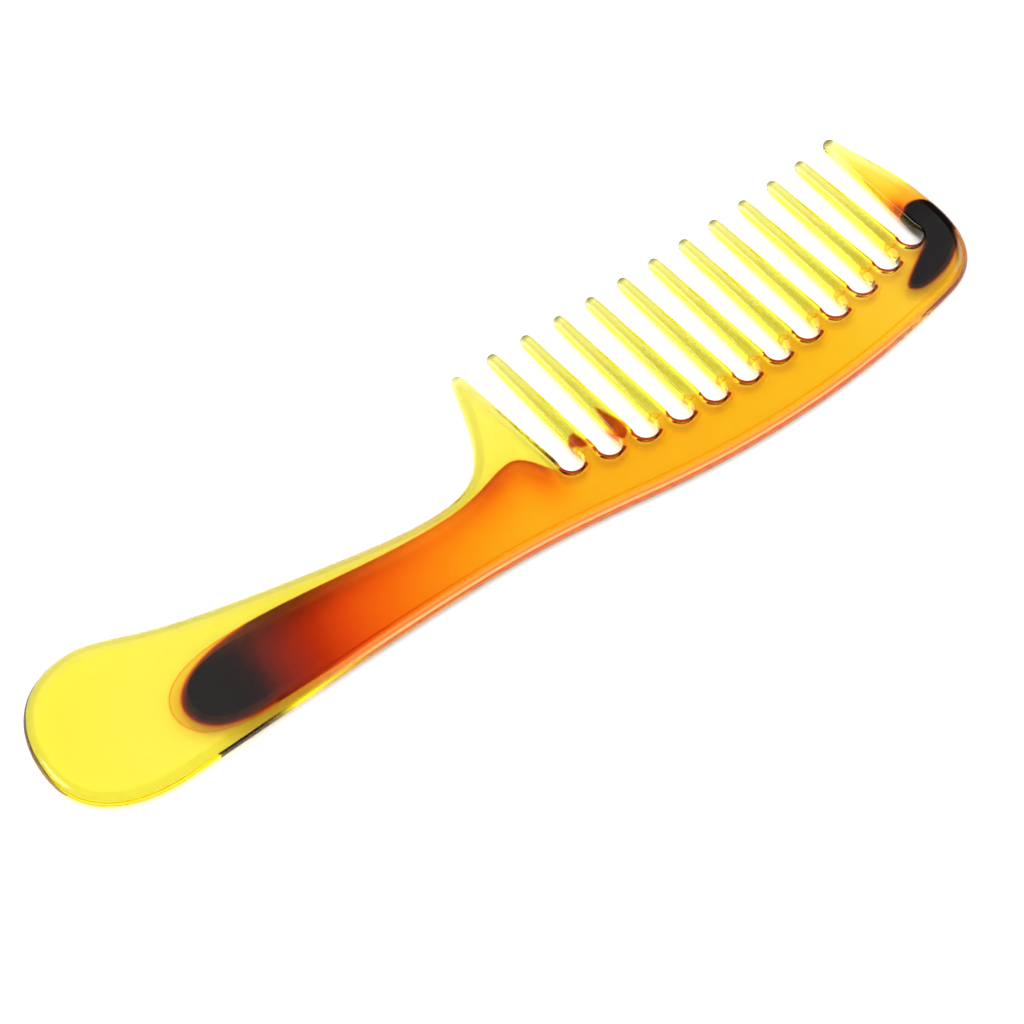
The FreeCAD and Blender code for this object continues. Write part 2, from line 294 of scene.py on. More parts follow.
# The last tooth: a cubic up its outer flank, the tip's arc, and a line down to the last gap.
def endTooth():
    radius = teeth["outerTipRadius"]
    centreX = lastGapX + teeth["endInset"]
    centre = at(centreX, tipY(lastGapX) + teeth["endRise"] - radius)
    rightTouch = centre + heading(teeth["endLean"]) * radius
    leftBase = shoulder(head["teeth"], 1)
    leftTouch = touch(leftBase, centre, radius, 1)
    third = (rightTouch[1] - endJointY) / 3
    along = heading(math.pi / 2 + teeth["endLean"])
    flank = bezier(endJoint, endJoint + endJointTurn * third, rightTouch - along * third, rightTouch)
    return [flank, tipArc(centre, radius, rightTouch, leftTouch), straight(leftTouch, leftBase)]


# The round root of a gap, from its right shoulder down and up to its left one.
def gapRoot(index):
    return arc(gapCentre(index), teeth["gapRadius"], shoulderAngle, -math.pi - shoulderAngle)


# A straight tooth: a line up from one gap's shoulder, the tip's arc, and a line down to the next gap.
def straightTooth(index):
    radius = teeth["tipRadius"]
    x = gapCentre(index)[0] + head["pitch"] / 2
    centre = at(x - teeth["lean"], tipY(x) - radius)
    leftBase = shoulder(index, 1)
    rightBase = shoulder(index + 1, -1)
    leftTouch = touch(leftBase, centre, radius, 1)
    rightTouch = touch(rightBase, centre, radius, -1)
    tip = tipArc(centre, radius, rightTouch, leftTouch)
    return [straight(rightBase, rightTouch), tip, straight(leftTouch, leftBase)]


# The first tooth: a line up from its gap, the tip's arc, and a cubic that sweeps out into the handle.
def heelTooth():
    radius = teeth["outerTipRadius"]
    centre = at(firstGapX - teeth["heelInset"], tipY(firstGapX) - teeth["heelDrop"] - radius)
    outward = heading(math.pi - teeth["heelLean"])
    along = heading(math.pi / 2 - teeth["heelLean"])
    leftTouch = centre + outward * radius
    rightBase = shoulder(0, -1)
    rightTouch = touch(rightBase, centre, radius, -1)
    rise, sweep = (leftTouch - waistTop)[::-1] * teeth["heelPull"]
    flank = bezier(leftTouch, leftTouch - along * rise, waistTop + at(sweep, 0), waistTop)
    return [straight(rightBase, rightTouch), tipArc(centre, radius, rightTouch, leftTouch), flank]


# The handle's upper edge: a level curve through points given as shares of its length and widening.
def upperEdge():
    widening = crestY - waistTopY
    points = [(handle["length"] * run, waistTopY + widening * rise) for run, rise in handle["slope"]]
    return [levelCurve(points)[::-1]]


# Evenly spaced points along a closed row of parts, each with the value that its part carries: both
# are read off at equal steps of the length travelled.
def evenly(parts, values, spacing):
    points = np.concatenate(parts)
    carried = np.concatenate([np.full(len(part), value) for part, value in zip(parts, values)])
    points = np.vstack((points, points[:1]))
    carried = np.append(carried, carried[:1])
    along = np.append(0, np.cumsum(np.linalg.norm(np.diff(points, axis=0), axis=1)))
    keep = np.append(True, np.diff(along) > 1e-6)  # a part starts where the last one ended
    along, points, carried = along[keep], points[keep], carried[keep]
    count = int(round(along[-1] / spacing))
    steps = np.linspace(0, along[-1], count + 1)[:-1]
    placed = np.stack([np.interp(steps, along, points[:, axis]) for axis in (0, 1)], 1)
    return placed, np.interp(steps, along, carried)


def outlineOf(parts, spacing):
    return evenly(parts, [0] * len(parts), spacing)[0]


# Rolling mean of a closed row of values, repeated, which rounds its corners.
def rolled(values, rounds):
    for _ in range(rounds):
        values = (np.roll(values, 1, 0) + 2 * values + np.roll(values, -1, 0)) / 4
    return values


# Unit vectors square to a closed anticlockwise outline, pointing into it.
def inward(outline):
    along = np.roll(outline, -1, 0) - np.roll(outline, 1, 0)
    along /= np.linalg.norm(along, axis=1)[:, None]
    return np.stack((-along[:, 1], along[:, 0]), 1)


# For each place, the nearest point of a row: how far it is, and which one.
def nearest(places, row):
    far = np.empty(len(places))
    which = np.empty(len(places), int)
    block = 4000
    for first in range(0, len(places), block):
        part = places[first:first + block]
        squared = ((part[:, None] - row[None]) ** 2).sum(2)
        best = squared.argmin(1)
        which[first:first + block] = best
        far[first:first + block] = np.sqrt(squared[np.arange(len(part)), best])
    return far, which


closeBy = 1.5  # within this distance, depth is measured square to the outline


# Depth inside a closed anticlockwise outline, negative outside: square to the nearest point's edge
# close by, and the plain distance to that point further off.
def depth(places, outline):
    into = inward(outline)
    far, which = nearest(places, outline)
    square = ((places - outline[which]) * into[which]).sum(1)
    return np.where(far < closeBy, square, np.sign(square) * far)


net = {
    "levelStrip": 0.2,  # follows the rounding, so that the broad face shades flat right up to it
    "rowShare": 0.866,  # a row's height as a share of a triangle's side
    "fromRing": 0.5,  # space kept free beside the last ring, as a share of the side
    "fromSpot": 0.35,
    "spotDepth": 0.15,
    "merged": 1e-7,
}


# Points for a broad face: rows shifted by half a side in turn, with any extra spots among them.
def facePoints(inner, side, extraSpots):
    low, high = inner.min(0), inner.max(0)
    columns = np.arange(low[0], high[0], side)
    rows = np.arange(low[1], high[1], side * net["rowShare"])
    grid = np.stack(np.meshgrid(columns, rows), 2)
    grid[1::2, :, 0] += side / 2
    grid = grid.reshape(-1, 2)
    grid = grid[depth(grid, inner) > side * net["fromRing"]]
    if extraSpots is None:
        return grid
    grid = grid[nearest(grid, extraSpots)[0] > net["fromSpot"]]
    return np.vstack((grid, extraSpots[depth(extraSpots, inner) > net["spotDepth"]]))


# Triangles over those points and the last ring, whose edges they keep to.
def faceNet(inner, grid):
    size = len(inner)
    ringEdges = [(i, (i + 1) % size) for i in range(size)]
    spots = [Vector(spot) for spot in np.vstack((inner, grid)).tolist()]
    made = delaunay_2d_cdt(spots, ringEdges, [list(range(size))], 1, net["merged"])
    return np.array([tuple(spot) for spot in made[0]])[size:], np.array(made[2])


# Quads between each ring and the next, up to the top face and down to the lower one. The rings down
# are numbered after the rings up, and both start from ring 0.
def ringQuads(size, ringCount):
    index = np.arange(size)
    onward = np.roll(index, -1)
    faces = []
    for ring in range(ringCount):
        a, b = ring * size, (ring + 1) * size
        faces.append(np.stack((a + index, a + onward, b + onward, b + index), 1))
        a = 0 if ring == 0 else (ringCount + ring) * size
        b = (ringCount + ring + 1) * size
        faces.append(np.stack((a + onward, a + index, b + index, b + onward), 1))
    return np.concatenate(faces)


def noPits(xy):
    return np.zeros(len(xy))


# A flat moulding: rings climb from the middle plane over a quarter ellipse as wide as the edge, up
# and down, and a triangle net fills each broad face. Half thickness is a function of the place.
def moulding(name, outline, edge, halfAt, ringCount, side, pitAt=noPits, extraSpots=None):
    size = len(outline)
    into = inward(outline)
    angles = np.append(np.linspace(0, math.pi / 2, ringCount), math.pi / 2)
    insets = [edge * (1 - math.cos(angle)) for angle in angles]
    insets[-1] = insets[-1] + net["levelStrip"]
    rings = [outline + into * inset[:, None] for inset in insets]
    lows = [-halfAt(ring) * math.sin(angle) for ring, angle in zip(rings, angles)]
    tops = [(halfAt(ring) - pitAt(ring)) * math.sin(angle) for ring, angle in zip(rings, angles)]
    extra, netFaces = faceNet(rings[-1], facePoints(rings[-1], side, extraSpots))
    xy = np.vstack(rings + rings[1:] + [extra, extra])
    lift = np.concatenate(tops + lows[1:] + [halfAt(extra) - pitAt(extra), -halfAt(extra)])
    base = (2 * ringCount + 1) * size
    topRing, lowRing = ringCount * size, 2 * ringCount * size
    topFaces = np.where(netFaces < size, netFaces + topRing, netFaces - size + base)
    lowFaces = np.where(netFaces < size, netFaces + lowRing, netFaces - size + base + len(extra))
    faces = ringQuads(size, ringCount).tolist() + topFaces.tolist() + lowFaces[:, ::-1].tolist()
    spots = np.column_stack((xy + (endX, backY), midZ + lift)) * mm
    mesh = bpy.data.meshes.new(name)
    mesh.from_pydata(spots.tolist(), [], faces)
    mesh.update()
    mesh.shade_smooth()
    piece = bpy.data.objects.new(name, mesh)
    bpy.context.scene.collection.objects.link(piece)
    print(name, len(xy), "points", len(mesh.polygons), "faces")
    return piece, xy


# One number for each point, which a material reads by its name.
def carry(piece, name, values):
    attribute = piece.data.attributes.new(name, "FLOAT", "POINT")
    attribute.data.foreach_set("value", np.asarray(values, np.float32))


# Half thickness: the plate's, thinning evenly from each tooth's neck to its tip.
def plateHalf(xy):
    x = alongTeeth(xy[:, 0])
    neck = neckY(x)
    share = np.clip((xy[:, 1] - neck) / (tipY(x) - neck), 0, 1)
    share = np.where(xy[:, 0] < handle["length"] + teeth["thinFrom"], 0, share)
    return thickness / 2 - (thickness - teeth["tipThickness"]) / 2 * share


skinMesh = {
    "spacing": 0.45,  # between points round the outline
    "rings": 7,
    "side": 1.1,
    "cornerRounds": 4,
    "edgeRounds": 30,
}


# The comb's whole outline, anticlockwise, with the width of its rounding at each point.
def skinOutline():
    parts, edges = [], []

    def add(stretches, width):
        parts.extend(stretches)
        edges.extend([width] * len(stretches))

    add(capAndUnderside(), handle["edge"])
    add(backEdge(), head["edge"])
    add(endTooth(), teeth["edge"])
    for index in range(head["teeth"], 0, -1):
        add([gapRoot(index)], teeth["rootEdge"])
        add(straightTooth(index - 1), teeth["edge"])
    add([gapRoot(0)], teeth["rootEdge"])
    add(heelTooth(), teeth["edge"])
    add(upperEdge(), handle["edge"])
    outline, width = evenly(parts, edges, skinMesh["spacing"])
    return rolled(outline, skinMesh["cornerRounds"]), rolled(width, skinMesh["edgeRounds"])


pits = {
    "gate": {"inset": -1.0, "rise": 1.7, "radius": 1.0, "deep": 0.36},
    "ejector": {"teeth": (1, 5, 7), "inset": 0.3, "share": 0.52, "radius": 1.15, "deep": 0.12},
    "rings": (0.3, 0.6, 0.85, 1.1),
    "ringSize": 14,
}


# Centres, radii and depths of the small round marks on the teeth.
def pitRows():
    rows = []
    gate, ejector = pits["gate"], pits["ejector"]
    for index in range(head["teeth"]):
        x = gapCentre(index)[0] + head["pitch"] / 2
        neck = neckY(x)
        rows.append((x + gate["inset"], neck + gate["rise"], gate["radius"], gate["deep"]))
        if index in ejector["teeth"]:
            y = neck + (tipY(x) - neck) * ejector["share"]
            rows.append((x - ejector["inset"], y, ejector["radius"], ejector["deep"]))
    return np.array(rows)


# Depth of the round marks: half a cosine wave from each centre out to its radius.
def pitDepth(xy):
    rows = pitRows()
    far, which = nearest(xy, rows[:, :2])
    share = np.clip(far / rows[which, 2], 0, 1)
    return rows[which, 3] * (0.5 + 0.5 * np.cos(math.pi * share))


# Each mark's centre and rings of points round it, so that its slope is smooth.
def pitSpots():
    rows = pitRows()
    turn = np.linspace(0, 2 * math.pi, pits["ringSize"], endpoint=False)
    circle = np.stack((np.cos(turn), np.sin(turn)), 1)
    rings = [rows[:, None, :2] + circle[None] * rows[:, None, 2:3] * share for share in pits["rings"]]
    return np.vstack([rows[:, :2]] + [ring.reshape(-1, 2) for ring in rings])


tongue = {
    "length": 68.4,
    "width": 18.6,
    "lowMargin": 2.9,
    "waistMargin": 1.7,
    "noseReach": 0.85,
    "fullness": 0.62,
    "heelInset": 9.8,
    "heelRise": 1.2,
    "slant": 0.25,
    "leavingPull": (12.0, -0.9),  # how its lower border leaves the waist and nears the back's edge
    "reachingPull": (118.0, 1.5),
    "reaches": (135.0, -1.0),
    "clears": (150.0, -6.0),
    "beyond": 6.0,
    "above": 60.0,
    "overNeck": (0.5, 3.0),
}
tongueLowY = handle["underside"] + tongue["lowMargin"]
tongueTopY = tongueLowY + tongue["width"]


# Amber tongue and back as one closed outline. Past the heel border it runs up beyond the necks of
# the teeth and out beyond the back, where the skin's own edge ends it.
def amberOutline(spacing):
    noseX = handle["length"] - tongue["length"]
    reach = tongue["width"] * tongue["noseReach"]
    nose = at(noseX, (tongueLowY + tongueTopY) / 2)
    crest = at(noseX + reach, tongueTopY)
    low = at(noseX + reach, tongueLowY)
    bulge = at(0, tongue["width"] / 2 * tongue["fullness"])
    pull = at(reach * tongue["fullness"], 0)
    third = at((handle["length"] - crest[0]) / 3, 0)
    lowWaist = waistLow + at(0, tongue["waistMargin"])
    topWaist = waistTop - at(0, tongue["waistMargin"])
    heelCrest = at(firstGapX - tongue["heelInset"], waistTopY + tongue["heelRise"])
    neck = gapCentre(0) - at(teeth["gapRadius"], 0)
    half = at((heelCrest[0] - handle["length"]) / 2, 0)
    fall = heelCrest[1] - neck[1]
    reaches, clears = at(*tongue["reaches"]), at(*tongue["clears"])
    outX, aboveY = farX + tongue["beyond"], tongue["above"]
    outside = (at(outX, clears[1]), at(outX, aboveY), at(firstGapX, aboveY))
    parts = [
        bezier(crest, crest - pull, nose + bulge, nose),
        bezier(nose, nose - bulge, low - pull, low),
        bezier(low, low + third, lowWaist - third, lowWaist),
        bezier(lowWaist, lowWaist + at(*tongue["leavingPull"]), at(*tongue["reachingPull"]), reaches),
        *throughCorners(reaches, clears, *outside, neck + at(*tongue["overNeck"]), neck),
        bezier(neck, neck + at(-fall, fall) * tongue["slant"], heelCrest + at(fall / 2, 0), heelCrest),
        bezier(heelCrest, heelCrest - half / 2, topWaist + half, topWaist),
        bezier(topWaist, topWaist - third, crest + third, crest),
    ]
    return outlineOf(parts, spacing)


grip = {
    "noseInset": (1.9, -0.3),  # from the tongue's nose
    "crestRun": 19.5,
    "lowRun": 15.0,
    "fullness": 0.62,
    "bulge": 0.58,
    "over": 0.1,
    "clears": 62.0,  # from here its borders are well outside the tongue's
    "below": 20.0,
    "above": 8.0,
    "headTop": (110.0, 65.0),
    "beyond": 9.0,
}


# Edge of the darkest dye: its nose stands back from the tongue's, and past it both edges meet. It
# then runs on round the whole head.
def gripOutline(spacing):
    middle = at(handle["length"] - tongue["length"], (tongueLowY + tongueTopY) / 2)
    nose = middle + at(*grip["noseInset"])
    crest = at(nose[0] + grip["crestRun"], tongueTopY + grip["over"])
    low = at(nose[0] + grip["lowRun"], tongueLowY - grip["over"])
    crestPull = at(grip["crestRun"] * grip["fullness"], 0)
    lowPull = at(grip["lowRun"] * grip["fullness"], 0)
    bulge = at(0, tongue["width"] / 2 * grip["bulge"])
    lowY, outX, headTop = tongueLowY - grip["below"], farX + grip["beyond"], at(*grip["headTop"])
    outside = (at(grip["clears"], lowY), at(outX, lowY), at(outX, headTop[1]), headTop)
    parts = [
        bezier(crest, crest - crestPull, nose + bulge, nose),
        bezier(nose, nose - bulge, low - lowPull, low),
        *throughCorners(low, *outside, at(grip["clears"], tongueTopY + grip["above"]), crest),
    ]
    return outlineOf(parts, spacing)


# Closed smooth curve through the points: each stretch is a cubic whose handles are a sixth of the
# step between a point's neighbours.
def closedCurve(points, count=16):
    points = np.array(points, float)
    turn = (np.roll(points, -1, 0) - np.roll(points, 1, 0)) / 6
    onward = np.roll(points, -1, 0)
    stretches = zip(points, points + turn, onward - np.roll(turn, -1, 0), onward)
    return [bezier(*stretch, count) for stretch in stretches]


# Steps from the last gap's centre to points round the dark dye in the corner.
corner = (
    (10.3, 5.6), (6.6, 7.7), (3.2, 5.9), (2.6, 0.8), (1.9, -2.5), (-1.9, -4.5), (-7.6, -7.7),
    (-9.4, -9.7), (-6.4, -11.4), (0.0, -10.7), (5.4, -8.2), (9.2, -4.6), (10.6, -0.2),
)


def cornerOutline(spacing):
    return outlineOf(closedCurve(gapCentre(head["teeth"]) + np.array(corner)), spacing)


# Two small splashes of dye, on the second tooth and the third.
flares = (
    ((127.3, 26.0), (125.0, 24.4), (125.9, 22.4), (128.3, 21.1), (128.0, 24.0)),
    ((135.1, 28.1), (134.3, 24.0), (134.2, 18.8), (135.6, 18.2), (137.3, 20.9), (136.3, 24.6)),
)

# Strength of the dye at places along the comb, what its upper border adds, and its fade up the end tooth.
dyeAlong = (
    (30, 1.0), (37, 0.97), (42, 0.92), (46, 0.855), (54, 0.74), (58, 0.68), (62, 0.62), (70, 0.5),
    (78, 0.42), (90, 0.31), (98, 0.25), (110, 0.21), (150, 0.19), (180, 0.165), (196, 0.14), (215, 0.12),
)
dyeByBorder = (
    (30, 0.0), (42, 0.1), (58, 0.32), (66, 0.34), (74, 0.35), (90, 0.32), (98, 0.42),
    (106, 0.58), (117, 0.62), (121, 0.0),
)
dyeUpEnd = ((22, 0.14), (26, 0.26), (30, 0.24), (34, 0.1), (38, 0.05), (42, 0.03), (46, 0.0))
dyeSpread = {
    "fromBorder": 3.4,
    "upNecks": 4.5,  # how far up the necks it fades, and what the last ones add to that
    "upLastNecks": 6.0,
    "lastNecks": (180.0, 30.0),
    "overNeck": 0.5,
    "beforeGap": 2.0,
    "endFromY": 22.0,
    "flankSlope": 0.02,
    "streak": {"inset": 1.2, "width": 1.1, "topY": 45.0, "fade": 4.0, "strength": 0.15},
    "smear": {"inset": 1.4, "width": 1.5, "y": 27.5, "height": 2.6, "strength": 0.42},
}


# How strongly the plastic is dyed, from 0 to 1. It is set along the comb, and near the tongue's upper
# border it gains what dies away exponentially. It fades up the necks of the teeth by a smooth step. The
# last tooth has a fade of its own, with a thin streak and a bell-shaped smear, and the larger holds.
def dyeAt(xy, upper):
    x, y = xy.T
    spread, streak, smear = dyeSpread, dyeSpread["streak"], dyeSpread["smear"]
    amount = np.interp(x, *np.array(dyeAlong).T)
    amount = amount + np.interp(x, *np.array(dyeByBorder).T) * np.exp(-upper / spread["fromBorder"])
    fromX, run = spread["lastNecks"]
    reach = spread["upNecks"] + spread["upLastNecks"] * np.clip((x - fromX) / run, 0, 1)
    fade = np.clip(1 - (y - neckY(alongTeeth(x)) - spread["overNeck"]) / reach, 0, 1)
    fade = fade * fade * (3 - 2 * fade)
    amount = np.where(x > firstGapX - spread["beforeGap"], amount * fade, amount)
    across = x - (lastGapX + teeth["gapWidth"] / 2 + (y - endJointY) * spread["flankSlope"])
    thin = np.exp(-np.abs(across - streak["inset"]) / streak["width"])
    thin = thin * np.clip((streak["topY"] - y) / streak["fade"], 0, 1)
    bell = ((across - smear["inset"]) / smear["width"]) ** 2 + ((y - smear["y"]) / smear["height"]) ** 2
    inEnd = np.interp(y, *np.array(dyeUpEnd).T)
    inEnd = inEnd + streak["strength"] * thin + smear["strength"] * np.exp(-bell)
    return np.where((x > lastGapX) & (y > spread["endFromY"]), np.maximum(amount, inEnd), amount)


# A socket that takes part in plain arithmetic: each operator adds a Math node.
class Value:
    def __init__(self, finish, socket):
        self.finish = finish
        self.socket = socket

    def joined(self, operation, a, b):
        made = self.finish.node("ShaderNodeMath", {"operation": operation}, {0: a, 1: b})
        return Value(self.finish, made.outputs[0])

    def __add__(self, other):
        return self.joined("ADD", self, other)

    __radd__ = __add__

    def __mul__(self, other):
        return self.joined("MULTIPLY", self, other)

    __rmul__ = __mul__

    def __sub__(self, other):
        return self.joined("SUBTRACT", self, other)

    def __rsub__(self, other):
        return self.joined("SUBTRACT", other, self)

    def atLeast(self, other):
        return self.joined("MAXIMUM", self, other)

    def atMost(self, other):
        return self.joined("MINIMUM", self, other)

    # Rises smoothly from 0 to 1 between two levels.
    def rising(self, low, high):
        ranges = {1: low, 2: high, 3: 0.0, 4: 1.0}
        settings = {"interpolation_type": "SMOOTHSTEP"}
        made = self.finish.node("ShaderNodeMapRange", settings, {0: self, **ranges})
        return Value(self.finish, made.outputs[0])

    def falling(self, low, high):
        return 1.0 - self.rising(low, high)

    # Rises between the first two levels and falls between the last two.
    def band(self, low, full, fading, gone):
        return self.rising(low, full) * self.falling(fading, gone)


# One material. Its node method makes any node: settings first, then socket values or links.
class Finish:
    def __init__(self, name):
        self.material = bpy.data.materials.new(name)
        self.material.use_nodes = True
        self.tree = self.material.node_tree
        self.shader = self.tree.nodes["Principled BSDF"]
        self.output = self.tree.nodes["Material Output"]
        self.place = self.node("ShaderNodeTexCoord", {}, {}).outputs["Object"]

    def node(self, kind, settings, inputs):
        made = self.tree.nodes.new(kind)
        for name, value in settings.items():
            if name == "stops":
                self.fillRamp(made.color_ramp, value)
            else:
                setattr(made, name, value)
        for key, value in inputs.items():
            self.feed(made.inputs[key], value)
        return made

    def feed(self, socket, value):
        if isinstance(value, Value):
            value = value.socket
        if isinstance(value, bpy.types.NodeSocket):
            self.tree.links.new(value, socket)
        else:
            socket.default_value = value

    def fillRamp(self, ramp, stops):
        while len(ramp.elements) < len(stops):
            ramp.elements.new(1.0)
        for element, (position, colour) in zip(ramp.elements, stops):
            element.position = position
            element.color = (*colour, 1.0)

    def attribute(self, name):
        made = self.node("ShaderNodeAttribute", {"attribute_name": name}, {})
        return Value(self, made.outputs["Fac"])

    def noise(self, scale, detail, stretch=(1.0, 1.0, 1.0)):
        mapped = self.node("ShaderNodeMapping", {}, {"Vector": self.place, "Scale": stretch})
        inputs = {"Vector": mapped.outputs[0], "Scale": scale, "Detail": detail}
        return Value(self, self.node("ShaderNodeTexNoise", {}, inputs).outputs[0])

    # One coordinate of a place or a direction: 0, 1 or 2.
    def axis(self, index, vector):
        return Value(self, self.node("ShaderNodeSeparateXYZ", {}, {0: vector}).outputs[index])

    def ramp(self, value, stops):
        return self.node("ShaderNodeValToRGB", {"stops": stops}, {0: value}).outputs[0]

    def tinted(self, colour, tint, share):
        settings = {"data_type": "RGBA", "blend_type": "MULTIPLY"}
        return self.node("ShaderNodeMix", settings, {0: share, 6: colour, 7: tint}).outputs[2]

    def absorb(self, colour, density):
        inputs = {"Color": (*colour, 1.0), "Density": density}
        made = self.node("ShaderNodeVolumeAbsorption", {}, inputs)
        self.feed(self.output.inputs["Volume"], made.outputs[0])

    # Mixes in a second shader, a plain glossy one, by a factor that changes over the surface.
    def body(self, factor, colour, roughness):
        plain = self.node("ShaderNodeBsdfPrincipled", {}, {"Base Color": colour, "Roughness": roughness})
        ends = {0: factor, 1: self.shader.outputs[0], 2: plain.outputs[0]}
        self.feed(self.output.inputs["Surface"], self.node("ShaderNodeMixShader", {}, ends).outputs[0])

    def set(self, **sockets):
        for name, value in sockets.items():
            self.feed(self.shader.inputs[name.replace("_", " ")], value)


# The world's node tree, made by the same method.
class Sky(Finish):
    def __init__(self, world):
        self.tree = world.node_tree

    # A soft round patch of light in one direction, between two cosines from its middle.
    def spot(self, direction, towards, spread):
        towards = Vector(towards).normalized()
        made = self.node("ShaderNodeVectorMath", {"operation": "DOT_PRODUCT"}, {0: direction, 1: towards})
        return Value(self, made.outputs["Value"]).rising(*spread)


# Linear light of an 8-bit screen colour.
def linear(colour):
    share = np.array(colour) / 255
    return np.where(share <= 0.04045, share / 12.92, ((share + 0.055) / 1.055) ** 2.4)


def linearStops(stops):
    return [(place, tuple(linear(colour))) for place, colour in stops]


clearLook = {
    "absorbed": (6.0, 12.0, 345.0),  # red, green and blue light taken, for each metre
    "density": 450.0,
    "roughness": 0.015,
    "ior": 1.52,
    "wallRoughness": 0.3,
    "flow": (90.0, 3.0, (0.25, 1.0, 1.0)),  # scale, detail and stretch
    "mottle": (350.0, 2.0),
    # Tints of painted shade: olive on the teeth and inside the clear edge, grey-green on the tips.
    "oliveShade": (0.6, 0.62, 0.34, 1.0),
    "tip": (0.24, 0.25, 0.16, 1.0),
}
# The dye's colours, which the painted shade marks below use as well.
dyeAndShadeColours = (
    (0.0, (255, 251, 255)), (0.12, (255, 216, 140)), (0.2, (255, 190, 100)), (0.3, (255, 160, 60)),
    (0.4, (255, 132, 45)), (0.5, (246, 98, 35)), (0.6, (226, 66, 28)), (0.7, (178, 36, 18)),
    (0.8, (128, 20, 12)), (0.9, (66, 10, 7)), (1.0, (30, 10, 8)),
)
# Levels between which each mark rises, and falls again where there are four.
fades = {
    "top": (1.2, 1.9),
    "amber": (-0.12, 0.28),
    "outerLine": (0.2, 0.45),
    "grip": (-0.15, 0.75),
    "core": (0.0, 1.7),
    "blob": (-0.7, 0.5),
    "flare": (-0.25, 0.45),
    # Painted shade and highlight marks from here on.
    "crescentShade": (0.05, 0.25, 0.9, 1.3),
    "echoShade": (1.35, 1.55, 1.65, 2.0),
    "curl": (-0.3, -0.05, 0.1, 0.35),
    "creaseShade": (2.2, 2.5, 2.6, 2.9),
    "toothRim": (0.3, 0.6),
    "toothHighlight": (1.1, 1.2, 1.3, 1.4),
    "border": (0.5, 1.0, 1.9, 2.6),
    "tip": (-0.4, 0.6),
    "wallFace": (2.1, 2.5),
    "wallTop": (0.93, 0.99),
}
strengths = {
    "flow": 0.05,
    "film": 0.14,
    "outerLine": 0.34,
    "beside": 0.74,
    "core": 0.26,
    "flare": 0.5,
    "mottle": 0.45,
    # Painted shade and highlight from here on.
    "crescentShade": 0.78,
    "crescentEnds": 0.14,
    "curl": 0.42,
    "echoShade": 0.12,
    "creaseShade": 0.16,
    "toothHighlight": 0.35,
    "border": 0.5,
    "tip": 0.95,
}
almostOne = 0.999  # just inside a ramp's last stop

# The back's wall as it looks in this light, from the foot (0) to the broad face (1): painted shade at the
# foot, a salmon-red band of painted floor reflection, a pale painted highlight line, a darker painted shade
# line at the crease, and the dye's amber at the top.
wallShadeAndHighlights = (
    (0.0, (70, 25, 30)), (0.36, (80, 25, 28)), (0.43, (150, 40, 25)), (0.52, (185, 58, 26)),
    (0.74, (205, 78, 36)), (0.79, (250, 170, 120)), (0.84, (250, 165, 105)), (0.88, (222, 92, 22)),
    (0.95, (250, 135, 45)), (1.0, (255, 150, 45)),
)
# How much of the painted shade and highlight bands covers the back's flat stretch, and near the corner.
wallShare = {"back": 0.75, "corner": 0.25}


# Dye and painted shade, from 0 to 1: the tongue's film and body, then the larger of that and the corner, the
# splashes, and the painted shade of the crescents and the curls, plus a painted shade echo round each gap
# and in a crease.
def dyeAndShadeAmount(finish, edge, rim, back, top):
    amber, inGrip = finish.attribute("amber"), finish.attribute("grip")
    gap, curl = finish.attribute("gap"), finish.attribute("curl")
    flow, mottle = finish.noise(*clearLook["flow"]), finish.noise(*clearLook["mottle"])
    dark = inGrip.rising(*fades["grip"])
    film = strengths["film"] + amber.falling(*fades["outerLine"]) * strengths["outerLine"]
    dye = finish.attribute("dye") + (flow - 0.5) * strengths["flow"]
    core = inGrip.rising(*fades["core"]) * strengths["core"] + strengths["beside"]
    splash = mottle * strengths["mottle"] + strengths["flare"]
    crescentShare = finish.attribute("ends") * strengths["crescentEnds"] + strengths["crescentShade"]
    amount = edge * (film * (1.0 - dark) + dye * core * dark)
    amount = amount.atLeast(finish.attribute("blob").rising(*fades["blob"]))
    amount = amount.atLeast(finish.attribute("flare").rising(*fades["flare"]) * splash)
    # Painted shade: dark red crescents on the near side under each gap's root, darker towards their ends.
    amount = amount.atLeast(gap.band(*fades["crescentShade"]) * edge * crescentShare)
    # Painted shade: curls on the near side round each gate mark.
    amount = amount.atLeast(curl.band(*fades["curl"]) * strengths["curl"])
    # Painted shade: a faint darker ring round each gap.
    amount = amount + gap.band(*fades["echoShade"]) * edge * strengths["echoShade"]
    # Painted shade: a dark line in the back's crease.
    amount = amount + back * rim.band(*fades["creaseShade"]) * edge * strengths["creaseShade"]
    return (amount * top).atMost(almostOne)


